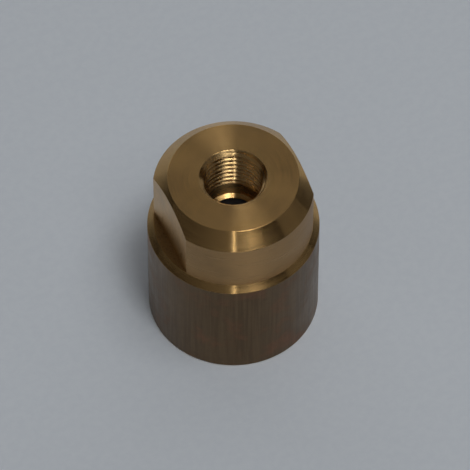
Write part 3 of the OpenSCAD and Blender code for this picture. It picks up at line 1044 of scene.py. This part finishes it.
def make_seat_screw():
    """A small slotted screw with a rolled thread on its shank."""
    skin = Skin()
    low, high = corners("seat_screw")
    angles = circle_angles(64)
    head_low = high.z - 1.0
    slot_half = 0.25
    slot_low = high.z - 0.45
    pitch = 0.45
    thread_depth = 0.2
    thread_low = low.z + EDGE_BREAK
    thread_high = thread_low + 2.4

    def shank(z, phase):
        return SCREW_R - thread_depth * groove(phase) * faded(z, thread_low, thread_high, pitch)

    skin.turned(STAINLESS, [(0.0, low.z), (SCREW_R - EDGE_BREAK, low.z), (SCREW_R, thread_low)], angles)
    thread_patch(skin, STAINLESS, angles, thread_low, thread_high, pitch, shank, steps=8)
    skin.turned(STAINLESS, [
        (SCREW_R, thread_high), (SCREW_R, head_low), (high.x, head_low),
        (high.x, high.z - EDGE_BREAK), (high.x - EDGE_BREAK, high.z), (0.0, high.z),
    ], angles)
    slot = box_cut(STAINLESS, Vector((-3, -slot_half, slot_low)), Vector((3, slot_half, high.z + 1)))
    piece = skin.finish_mesh("slotted_screw", bevel=0.03, cuts=[slot])
    place_piece(piece, "housing", "seat_screw")


make_seat_screw()

# Snap rings: two eyes, each with a hole, stand inward beside the gap
RING_INNER_R = 5.05
RING_GAP = math.radians(12)
EYE_R = 0.85
EYE_HOLE_R = 0.4
EYE_PLACE = 4.7
EYE_TURNS = (math.radians(24), TAU - math.radians(24))


def make_snap_ring(name, node, turn):
    """An internal snap ring with two drilled eyes, its gap towards an angle."""
    low, high = corners(node)
    outer = SNAP_GROOVE_R - 0.05
    start = math.radians(turn)
    reach = math.asin(EYE_R / EYE_PLACE)
    first, last = EYE_TURNS

    def across_eye(eye):
        return [eye - reach * math.cos(t) for t in spaced(0, math.pi, 20)][:-1]

    columns = [
        *spaced(RING_GAP, first - reach, 2)[:-1], *across_eye(first),
        *spaced(first + reach, last - reach, 90)[:-1], *across_eye(last),
        *spaced(last + reach, TAU - RING_GAP, 2),
    ]

    def inner(angle):
        for eye in EYE_TURNS:
            aside = EYE_PLACE * math.sin(angle - eye)
            if abs(aside) < EYE_R and math.cos(angle - eye) > 0:
                edge = EYE_PLACE * math.cos(angle - eye) - math.sqrt(EYE_R**2 - aside**2)
                return min(RING_INNER_R, edge)
        return RING_INNER_R

    def corner(i, j):
        radius = outer if j in (1, 2) else inner(columns[i])
        return polar(radius, start + columns[i], low.z if j < 2 else high.z)

    skin = Skin()
    skin.bar(SPRING_STEEL, len(columns) - 1, corner)
    holes = []
    below, above = low.z - 0.2, high.z + 0.2
    for eye in EYE_TURNS:
        hole = Skin()
        hole.turned(
            SPRING_STEEL, [(0.0, below), (EYE_HOLE_R, below), (EYE_HOLE_R, above), (0.0, above)],
            circle_angles(24), middle=polar(EYE_PLACE, start + eye, 0.0),
        )
        holes.append(hole)
    place_piece(skin.finish_mesh(name, bevel=0.03, cuts=holes), "housing", node)


make_snap_ring("carrier_snap_ring", "seat_carrier_ring", turn=90)
make_snap_ring("screen_snap_ring", "screen_ring", turn=-60)


# ---------------------------------------------------------------- vent plug and screen frame

def make_vent_plug():
    """The porous plug, lying along Y, with a rounded rim."""
    low, high = corners("vent_plug")
    radius = high.x
    middle_z = (low.z + high.z) / 2
    edge = 0.12
    outline = [
        (0.0, low.y), (radius - edge, low.y), (radius, low.y + edge),
        (radius, high.y - edge), (radius - edge, high.y), (0.0, high.y),
    ]
    turns = circle_angles(64)
    skin = Skin()
    skin.patch(
        SINTERED, len(turns), len(outline) - 1,
        lambda i, j: Vector((
            outline[j][0] * math.cos(turns[i]), outline[j][1],
            middle_z + outline[j][0] * math.sin(turns[i]),
        )),
    )
    place_piece(skin.finish_mesh("porous_plug", bevel=0.03), "housing", "vent_plug")


make_vent_plug()

SCREEN_HOLDER_R = 4.7
turned_piece(
    "screen_holder", CAP,
    [
        (SCREEN_HOLDER_R, FRAME_LOW.z), (FRAME_HIGH.x, FRAME_LOW.z), (FRAME_HIGH.x, FRAME_HIGH.z),
        (SCREEN_HOLDER_R, FRAME_HIGH.z), (SCREEN_HOLDER_R, SCREEN_HIGH.z), (SCREEN_HIGH.x, SCREEN_HIGH.z),
        (SCREEN_HIGH.x, SCREEN_LOW.z), (SCREEN_HOLDER_R, SCREEN_LOW.z),
    ],
    "housing", "screen_frame", bevel=0.06,
)


# ---------------------------------------------------------------- swept wire: the spring and the screen

class Recipe(Nodes):
    """A Geometry Nodes tree with named inputs."""

    KINDS = {int: "NodeSocketInt", float: "NodeSocketFloat", bpy.types.Material: "NodeSocketMaterial"}

    def __init__(self, name, **inputs):
        super().__init__(bpy.data.node_groups.new(name, "GeometryNodeTree"))
        self.settings = {}
        for label, value in inputs.items():
            made = self.tree.interface.new_socket(
                label, in_out="INPUT", socket_type=self.KINDS[type(value)]
            )
            self.settings[made.identifier] = value
        self.tree.interface.new_socket("Geometry", in_out="OUTPUT", socket_type="NodeSocketGeometry")
        self.given = self.node("NodeGroupInput")

    def __getitem__(self, label):
        return Value(self, self.given.outputs[label])

    def moved(self, geometry, place):
        return self.value("GeometryNodeSetPosition", {}, {"Geometry": geometry, "Position": place})

    def swept(self, curve, radius, sides):
        """A round wire along a curve, with its ends closed."""
        ring = self.value("GeometryNodeCurvePrimitiveCircle", {}, {"Resolution": sides, "Radius": radius})
        wire = {"Curve": curve, "Profile Curve": ring, "Fill Caps": True}
        return self.value("GeometryNodeCurveToMesh", {}, wire)

    def made(self, geometry, name):
        """Ends the tree, runs it once and returns its result as a plain mesh object."""
        whole = self.value("GeometryNodeRealizeInstances", {}, {"Geometry": geometry})
        painted = {"Geometry": whole, "Material": self["Material"]}
        self.node("NodeGroupOutput", {}, {0: self.value("GeometryNodeSetMaterial", {}, painted)})
        piece = bpy.data.objects.new(name, bpy.data.meshes.new(name))
        bpy.context.scene.collection.objects.link(piece)
        grown = piece.modifiers.new("grown", "NODES")
        grown.node_group = self.tree
        for identifier, value in self.settings.items():
            grown[identifier] = value
        applied(piece)
        if piece.data.materials[0] is None:
            piece.data.materials.pop(index=0)
        return piece


def make_spring():
    """The main spring, wound as in the model: a closed coil at each end, ground flat."""
    wire_r = 1.0
    turns = 4
    steps = 72
    closed_pitch = 2 * wire_r
    rise = SPRING_HIGH.z - SPRING_LOW.z - wire_r
    open_pitch = (rise - 2 * closed_pitch) / (turns - 2)
    recipe = Recipe(
        "spring_winding", Points=turns * steps + 1, Steps=float(steps), Turns=float(turns),
        Mean_Radius=9.9 * MM, Wire_Radius=wire_r * MM, Closed_Pitch=closed_pitch * MM,
        Open_Pitch=open_pitch * MM, Low=SPRING_LOW.z * MM, High=SPRING_HIGH.z * MM, Material=SPRING_STEEL,
    )
    line = recipe.value("GeometryNodeMeshLine", {}, {"Count": recipe["Points"]})
    curve = recipe.value("GeometryNodeMeshToCurve", {}, {"Mesh": line})
    turn = recipe.value("GeometryNodeInputIndex") / recipe["Steps"]
    first = turn.math("MINIMUM", 1.0)
    last = (turn - (recipe["Turns"] - 1.0)).math("MAXIMUM", 0.0)
    ends = first + last
    climb = ends * recipe["Closed_Pitch"] + (turn - ends) * recipe["Open_Pitch"]
    angle = turn * TAU
    place = recipe.joined(
        recipe["Mean_Radius"] * angle.math("COSINE"), recipe["Mean_Radius"] * angle.math("SINE"),
        recipe["Low"] + recipe["Wire_Radius"] * 0.5 + climb,
    )
    wire = recipe.swept(recipe.moved(curve, place), recipe["Wire_Radius"], sides=24)
    smooth = recipe.value("GeometryNodeSetShadeSmooth", {}, {"Geometry": wire})
    x, y, z = recipe.split(recipe.value("GeometryNodeInputPosition"))
    ground = z.math("MAXIMUM", recipe["Low"]).math("MINIMUM", recipe["High"])
    piece = recipe.made(recipe.moved(smooth, recipe.joined(x, y, ground)), "coiled_spring")
    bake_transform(piece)
    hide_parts("main_spring")


make_spring()


def make_screen():
    """The thin inlet screen, with its holes in a triangular pattern."""
    rows = 9
    recipe = Recipe(
        "screen_holes", Holes=rows * rows, Row_Length=float(rows), Pitch=1.2 * MM, Hole_Radius=0.4 * MM,
        Limit=3.9 * MM, Radius=SCREEN_HIGH.x * MM, Thickness=(SCREEN_HIGH.z - SCREEN_LOW.z) * MM,
        Middle=(SCREEN_HIGH.z + SCREEN_LOW.z) / 2 * MM, Material=STAINLESS,
    )
    index = recipe.value("GeometryNodeInputIndex")
    middle_row = (recipe["Row_Length"] - 1.0) / 2.0
    row = (index / recipe["Row_Length"]).math("FLOOR") - middle_row
    column = index.math("MODULO", recipe["Row_Length"]) - middle_row
    shift = row.math("ABSOLUTE").math("MODULO", 2.0) * 0.5
    x = recipe["Pitch"] * (column + shift)
    y = recipe["Pitch"] * (row * math.sin(TAU / 6))
    line = recipe.value("GeometryNodeMeshLine", {}, {"Count": recipe["Holes"]})
    spots = recipe.moved(line, recipe.joined(x, y, recipe["Middle"]))
    outside = (x * x + y * y).math("SQRT").math("GREATER_THAN", recipe["Limit"])
    kept = recipe.value("GeometryNodeDeleteGeometry", {}, {"Geometry": spots, "Selection": outside})
    punch = recipe.value("GeometryNodeMeshCylinder", {}, {
        "Vertices": 24, "Radius": recipe["Hole_Radius"], "Depth": recipe["Thickness"] * 3.0,
    })
    punches = recipe.value("GeometryNodeInstanceOnPoints", {}, {"Points": kept, "Instance": punch})
    cutters = recipe.value("GeometryNodeRealizeInstances", {}, {"Geometry": punches})
    disc = recipe.value("GeometryNodeMeshCylinder", {}, {
        "Vertices": 96, "Radius": recipe["Radius"], "Depth": recipe["Thickness"],
    })
    lift = recipe.joined(0.0, 0.0, recipe["Middle"])
    raised = recipe.value("GeometryNodeTransform", {}, {"Geometry": disc, "Translation": lift})
    punched = recipe.value(
        "GeometryNodeMeshBoolean", {"operation": "DIFFERENCE"}, {"Mesh 1": raised, "Mesh 2": cutters}
    )
    place_piece(recipe.made(punched, "punched_screen"), "housing", "inlet_screen")


make_screen()


# ---------------------------------------------------------------- stage, light and camera

FLOOR_HALF = 2.0
PAPER = (rgb(0.72, 0.775, 0.84), rgb(0.745, 0.80, 0.86))


def make_floor():
    finish = Finish("pale_paper", Roughness=0.85)
    grain = finish.noise(finish.place(), scale=0.6)
    square = [(x * FLOOR_HALF, y * FLOOR_HALF, 0) for x, y in ((-1, -1), (1, -1), (1, 1), (-1, 1))]
    mesh = bpy.data.meshes.new("floor")
    mesh.from_pydata(square, [], [(0, 1, 2, 3)])
    mesh.materials.append(finish.set(base_color=finish.mixed(finish.ramp(grain, 0.3, 0.7), *PAPER)))
    floor = bpy.data.objects.new("floor", mesh)
    bpy.context.scene.collection.objects.link(floor)


# The camera looks at a place a little off the axis, right of it and up, as its own picture has them
CAMERA_TURN = math.radians(-23.8)
CAMERA_RISE = math.radians(54.84)
CAMERA_DISTANCE = 60 * BODY_R * MM
LENS = 394.2
SENSOR = 36.0
AIM_Z = 19.25
AIM_RIGHT = 0.33
AIM_UP = 1.46


def aim(turn, rise):
    """Direction from the object to a place that is turned right of the front and raised."""
    return Vector((
        math.sin(turn) * math.cos(rise), -math.cos(turn) * math.cos(rise), math.sin(rise),
    ))


def make_camera():
    data = bpy.data.cameras.new("camera")
    data.lens = LENS
    data.sensor_width = SENSOR
    data.clip_start = 0.01
    data.clip_end = 20
    camera = bpy.data.objects.new("camera", data)
    back = aim(CAMERA_TURN, CAMERA_RISE)
    turn = back.to_track_quat("Z", "Y")
    right = turn @ Vector((1, 0, 0))
    up = turn @ Vector((0, 1, 0))
    target = Vector((0, 0, AIM_Z)) + right * AIM_RIGHT + up * AIM_UP
    camera.location = target * MM + back * CAMERA_DISTANCE
    camera.rotation_euler = turn.to_euler()
    bpy.context.scene.collection.objects.link(camera)
    bpy.context.scene.camera = camera


LAMP_DISTANCE = 2.5
LAMP_MIDDLE = Vector((0, 0, 0.02))


def make_light(name, turn, rise, wide, high, glow):
    """A soft panel that the object sees wide and high in degrees, turned right of the camera.

    glow is its radiance, and all panels stand at the same distance.
    """
    data = bpy.data.lights.new(name, "AREA")
    data.shape = "RECTANGLE"
    data.size = 2 * LAMP_DISTANCE * math.tan(math.radians(wide / 2))
    data.size_y = 2 * LAMP_DISTANCE * math.tan(math.radians(high / 2))
    data.energy = glow * math.pi * data.size * data.size_y
    lamp = bpy.data.objects.new(name, data)
    away = aim(CAMERA_TURN + math.radians(turn), math.radians(rise))
    lamp.location = away * LAMP_DISTANCE + LAMP_MIDDLE
    lamp.rotation_euler = away.to_track_quat("Z", "Y").to_euler()
    bpy.context.scene.collection.objects.link(lamp)


def make_world():
    """A weak warm glow from everywhere."""
    world = bpy.data.worlds.new("studio")
    world.use_nodes = True
    glow = world.node_tree.nodes["Background"].inputs
    glow["Color"].default_value = (1, 0.7, 0.5, 1)
    glow["Strength"].default_value = 0.012
    bpy.context.scene.world = world


make_floor()
make_camera()
make_world()
make_light("strip", turn=1.2, rise=59, wide=1.6, high=30, glow=9.8)
make_light("key", turn=30, rise=71, wide=13, high=14, glow=11.0)
make_light("key_low", turn=35, rise=57, wide=13, high=13, glow=2.4)
make_light("key_right", turn=75, rise=71, wide=16, high=14, glow=4.1)
make_light("front_low", turn=12, rise=14, wide=18, high=14, glow=0.25)
make_light("right_side", turn=84, rise=24, wide=36, high=18, glow=0.13)
make_light("back_low", turn=165, rise=20, wide=70, high=24, glow=0.74)
make_light("back_left", turn=-145, rise=28, wide=24, high=34, glow=0.51)
make_light("back_high", turn=136, rise=62, wide=60, high=22, glow=0.22)
make_light("front_left", turn=-50, rise=46, wide=80, high=24, glow=0.16)
make_light("top_left", turn=-110, rise=76, wide=40, high=24, glow=0.06)

bpy.context.scene.view_settings.view_transform = "Standard"
